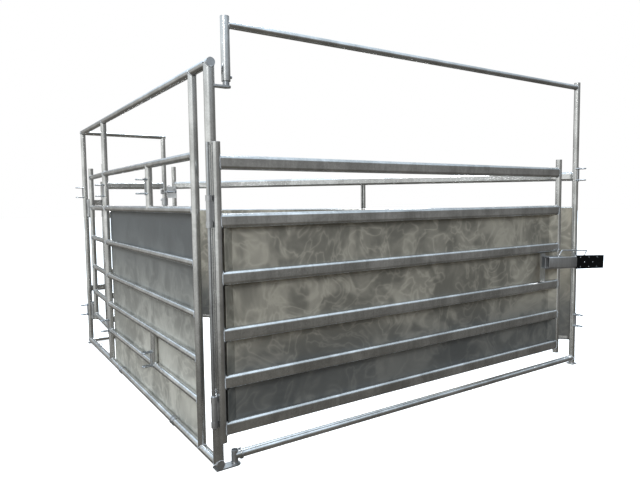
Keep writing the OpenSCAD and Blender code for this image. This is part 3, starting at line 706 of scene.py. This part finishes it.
class PEN_OT_finish_frame(bpy.types.Operator):
    """Gives every CAD node the finish that its material slot calls for"""

    bl_idname = "pen.finish_frame"
    bl_label = "Zinc finishes"

    def execute(self, context):
        sizes = context.scene.pen_finishes
        tube = (sizes.tube_light, sizes.tube_dark, sizes.tube_rough)
        fitting = (sizes.fitting_light, sizes.fitting_dark, sizes.fitting_rough)
        pin = (sizes.pin_light, sizes.pin_dark, sizes.pin_rough)
        gate = (sizes.sheet_dark, sizes.sheet_pale)
        wall = (sizes.lit_wall_dark, sizes.lit_wall_pale)
        on_gate = Shade(sizes.foot_low, sizes.foot_high, sizes.foot_shade, 0.0, sizes.shade)
        on_wall = Shade(sizes.wall_low, sizes.wall_high, 0.0, sizes.wall_shade, sizes.shade)
        finishes = {
            "tube": zinc_finish("zinc tube", *tube, sizes),
            "fitting": zinc_finish("zinc fitting", *fitting, sizes),
            "bright": zinc_finish("bright zinc", *pin, sizes),
            "sheet": sheet_finish("zinc sheet", *gate, on_gate, sizes),
            "pad": pad_finish("black pad", sizes.pad),
        }
        # The side wall's sheet: the sheet finish again in lighter colours for painted light, with
        # painted shade darkening it towards its top.
        shaded = sheet_finish("shaded zinc sheet", *wall, on_wall, sizes)
        for part in frame["record"]["subparts"]:
            dress(part["node"], finishes[part["material_slot"]])
        dress("side_sheet", shaded)
        return {"FINISHED"}


class PEN_OT_weld_beads(bpy.types.Operator):
    """Lays weld beads round every rail's end and stitch welds along the sheets"""

    bl_idname = "pen.weld_beads"
    bl_label = "Weld beads"

    def execute(self, context):
        sizes = context.scene.pen_welds
        values = {
            "Bead": sizes.bead,
            "Pitch": sizes.pitch,
            "Seed": sizes.seed,
            "Material": weld_finish("zinc weld", context.scene.pen_finishes.weld),
        }
        tree = bead_tree()
        for body, seams in all_seams(sizes).items():
            piece = grown(from_lines("weld_beads_" + body, seams), tree, values)
            placed(piece, body, "fitting")
        return {"FINISHED"}


class PEN_OT_slide_bolt(bpy.types.Operator):
    """Makes the slide bolt's round-cornered box tube"""

    bl_idname = "pen.slide_bolt"
    bl_label = "Slide bolt"

    def execute(self, context):
        sizes = context.scene.pen_latch
        low, high = around(solids("latch_bolt", levelling()))
        board, end = sorted(solids("latch_pad", levelling()), key=lambda box: box[0].x)
        pad_low = board[0]
        skin = end[0].y - pad_low.y
        shape = bmesh.new()
        for x0, x1, inset in ((low.x, pad_low.x, 0.0), (pad_low.x, high.x, skin)):
            near, far = (low.y + inset, low.z), (high.y, high.z)
            box_tube(shape, x0, x1, near, far, sizes.wall, sizes.corner)
        piece = from_bmesh("slide_bolt_tube", shape, bpy.data.materials["zinc fitting"])
        on_bolt(piece, "fitting", "latch_bolt")
        return {"FINISHED"}


class PEN_OT_striking_pad(bpy.types.Operator):
    """Makes the black pad that wraps the slide bolt's face and end, with soft edges"""

    bl_idname = "pen.striking_pad"
    bl_label = "Striking pad"

    def execute(self, context):
        sizes = context.scene.pen_latch
        shape = bmesh.new()
        for low, high in solids("latch_pad", levelling()):
            block = bmesh.ops.create_cube(shape, size=1.0)["verts"]
            bmesh.ops.scale(shape, verts=block, vec=high - low)
            bmesh.ops.translate(shape, verts=block, vec=(low + high) / 2)
        rounding = {"offset": sizes.edge, "segments": 3, "profile": 0.5}
        bmesh.ops.bevel(shape, geom=list(shape.edges), affect="EDGES", **rounding)
        piece = from_bmesh("striking_pad", shape, bpy.data.materials["black pad"], smooth=False)
        on_bolt(piece, "pad", "latch_pad")
        return {"FINISHED"}


# A screw head's outline, as shares of its radius and its height, from its rim to its socket.
SCREW_PROFILE = ((1, 0), (1, 0.35), (0.9, 0.72), (0.68, 0.95), (0.5, 1), (0.44, 0.94), (0.4, 0.4))


class PEN_OT_pad_screws(bpy.types.Operator):
    """Sets a domed screw with a recessed socket at each of the pad's fixings"""

    bl_idname = "pen.pad_screws"
    bl_label = "Pad screws"

    def execute(self, context):
        heads = solids("latch_screws", levelling())
        low, high = heads[0]
        radius = (high.x - low.x) / 2
        height = high.y - low.y
        shape = bmesh.new()
        rings = []
        for wide, tall in SCREW_PROFILE:
            centre = Vector((0, -height * tall, 0))
            rings.append(ring_of(shape, centre, Vector((1, 0, 0)), UP, radius * wide, 18))
        bridge(shape, rings)
        shape.faces.new(rings[0])
        shape.faces.new(rings[-1])
        screw = from_bmesh("screw pattern", shape)
        points = bpy.data.meshes.new("pad_screws")
        places = [((a.x + b.x) / 2, b.y, (a.z + b.z) / 2) for a, b in heads]
        points.from_pydata(places, [], [])
        values = {"Part": screw, "Material": bpy.data.materials["bright zinc"]}
        piece = grown(new_object("pad_screws", points), copies_tree(), values)
        bpy.data.objects.remove(screw)
        on_bolt(piece, "bright", "latch_screws")
        return {"FINISHED"}


class PEN_OT_bolt_handle(bpy.types.Operator):
    """Bends the round bar that stands on top of the slide bolt"""

    bl_idname = "pen.bolt_handle"
    bl_label = "Bolt handle"

    def execute(self, context):
        sizes = context.scene.pen_latch
        low, high = around(solids("latch_handle", levelling()))
        radius = sizes.rod / 2
        middle = (low.y + high.y) / 2
        left = low.x + sizes.foot
        right = high.x - sizes.lean - radius
        top = high.z - radius
        corners = [
            Vector((left, middle, low.z)),
            Vector((left + sizes.lean, middle, top)),
            Vector((right + sizes.lean, middle, top)),
            Vector((right, middle, low.z)),
        ]
        path = filleted(corners, sizes.bend)
        piece = swept_rod("bolt_handle", path, radius, bpy.data.materials["zinc fitting"])
        on_bolt(piece, "fitting", "latch_handle")
        return {"FINISHED"}


class PEN_OT_stage(bpy.types.Operator):
    """Sets the floor, the sky's light, the lamps and the camera"""

    bl_idname = "pen.stage"
    bl_label = "Stage"

    def execute(self, context):
        sizes = context.scene.pen_stage
        add_floor(sizes)
        add_sky(context.scene, sizes)
        key = {"place": (-6.0, -5.0, 6.5), "target": (1.2, 0.0, 1.0), "size": 2.2, "power": 520}
        top = {"place": (1.5, 1.5, 8.0), "target": (1.5, 1.5, 0.0), "size": 2.5, "power": 420}
        add_lamp("key lamp", **key)
        add_lamp("top lamp", **top)
        add_camera(context.scene, sizes)
        context.scene.view_settings.view_transform = "Standard"
        context.scene.view_settings.look = "None"
        return {"FINISHED"}


def add_floor(sizes):
    reach = sizes.floor_reach
    shape = bmesh.new()
    corners = [(-reach, -reach), (reach, -reach), (reach, reach), (-reach, reach)]
    shape.faces.new([shape.verts.new((x, y, -1 * MM)) for x, y in corners])
    paint = Finish("pale floor")
    clouds = paint.noise(0.6, 3.0)
    paint.set(Base_Color=paint.mix(clouds * 0.15, rgba(sizes.floor), WHITE))
    paint.set(Roughness=0.9, Emission_Color=WHITE, Emission_Strength=sizes.floor_glow)
    floor = from_bmesh("floor", shape, paint.material, smooth=False)
    floor.visible_glossy = False
    floor.visible_diffuse = False


def add_sky(scene, sizes):
    """A white backdrop, and for everything else a blue-white sky over a dull yard."""
    world = bpy.data.worlds.new("yard sky")
    world.use_nodes = True
    scene.world = world
    sky = Nodes(world.node_tree)
    backdrop = world.node_tree.nodes["Background"]
    # split is the direction's height and across its place from left to right, both from -1 to 1.
    way = sky.add("ShaderNodeTexCoord", "Generated")
    split = sky.add("ShaderNodeSeparateXYZ", "Z", None, {0: way})
    across = Wire(sky, split.socket.node.outputs["X"])
    low = sky.mix(sky.step(split, -0.25, 0.02), rgba(sizes.ground), rgba(sizes.haze))
    leftward = sky.step(across, -0.1, -0.75) * sky.step(split, -0.35, 0.0)
    sided = sky.mix(leftward, low, rgba(sizes.left))
    full = sky.mix(sky.step(split, 0.16, 0.46), sided, rgba(sizes.sky))
    shade = sky.mix(sky.step(across, 0.3, 0.95) * 0.62, full, rgba(sizes.right))
    seen = sky.add("ShaderNodeLightPath", "Is Camera Ray")
    bright = sky.mix(seen, shade, WHITE)
    strength = seen * (1.0 - sizes.sky_light) + sizes.sky_light
    world.node_tree.links.new(bright.socket, backdrop.inputs["Color"])
    world.node_tree.links.new(strength.socket, backdrop.inputs["Strength"])


def add_lamp(name, place, target, size, power):
    lamp = bpy.data.lights.new(name, "AREA")
    lamp.size = size
    lamp.energy = power
    thing = bpy.data.objects.new(name, lamp)
    thing.location = place
    thing.rotation_euler = (Vector(target) - Vector(place)).to_track_quat("-Z", "Y").to_euler()
    bpy.context.scene.collection.objects.link(thing)


def add_camera(scene, sizes):
    camera = bpy.data.cameras.new("camera")
    camera.lens = sizes.lens
    camera.sensor_width = 36.0
    thing = bpy.data.objects.new("camera", camera)
    scene.collection.objects.link(thing)
    level = Euler((math.pi / 2 - sizes.pitch, 0.0, -sizes.yaw)).to_matrix()
    turn = level @ Matrix.Rotation(sizes.roll, 3, "Z")
    thing.matrix_world = Matrix.Translation(sizes.eye) @ turn.to_4x4()
    scene.camera = thing


class PEN_PT_panel(bpy.types.Panel):
    """Lists the steps that make the pen, and the values that they use"""

    bl_idname = "PEN_PT_panel"
    bl_label = "Panel Gate"
    bl_space_type = "VIEW_3D"
    bl_region_type = "UI"
    bl_category = "Panel Gate"

    def draw(self, context):
        for operator in OPERATORS:
            self.layout.operator(operator.bl_idname)
        for name in GROUPS:
            group = getattr(context.scene, name)
            box = self.layout.box()
            for key in group.__annotations__:
                box.prop(group, key)


GROUPS = {
    "pen_finishes": PenFinishes,
    "pen_welds": PenWelds,
    "pen_latch": PenLatch,
    "pen_stage": PenStage,
}
OPERATORS = [
    PEN_OT_finish_frame,
    PEN_OT_weld_beads,
    PEN_OT_slide_bolt,
    PEN_OT_striking_pad,
    PEN_OT_pad_screws,
    PEN_OT_bolt_handle,
    PEN_OT_stage,
]


def register():
    for group in GROUPS.values():
        bpy.utils.register_class(group)
    for name, group in GROUPS.items():
        setattr(bpy.types.Scene, name, bpy.props.PointerProperty(type=group))
    for operator in OPERATORS:
        bpy.utils.register_class(operator)
    bpy.utils.register_class(PEN_PT_panel)


def unregister():
    bpy.utils.unregister_class(PEN_PT_panel)
    for operator in reversed(OPERATORS):
        bpy.utils.unregister_class(operator)
    for name in GROUPS:
        delattr(bpy.types.Scene, name)
    for group in reversed(GROUPS.values()):
        bpy.utils.unregister_class(group)


def main():
    register()
    for operator in OPERATORS:
        area, name = operator.bl_idname.split(".")
        getattr(getattr(bpy.ops, area), name)()


if __name__ == "__main__":
    main()
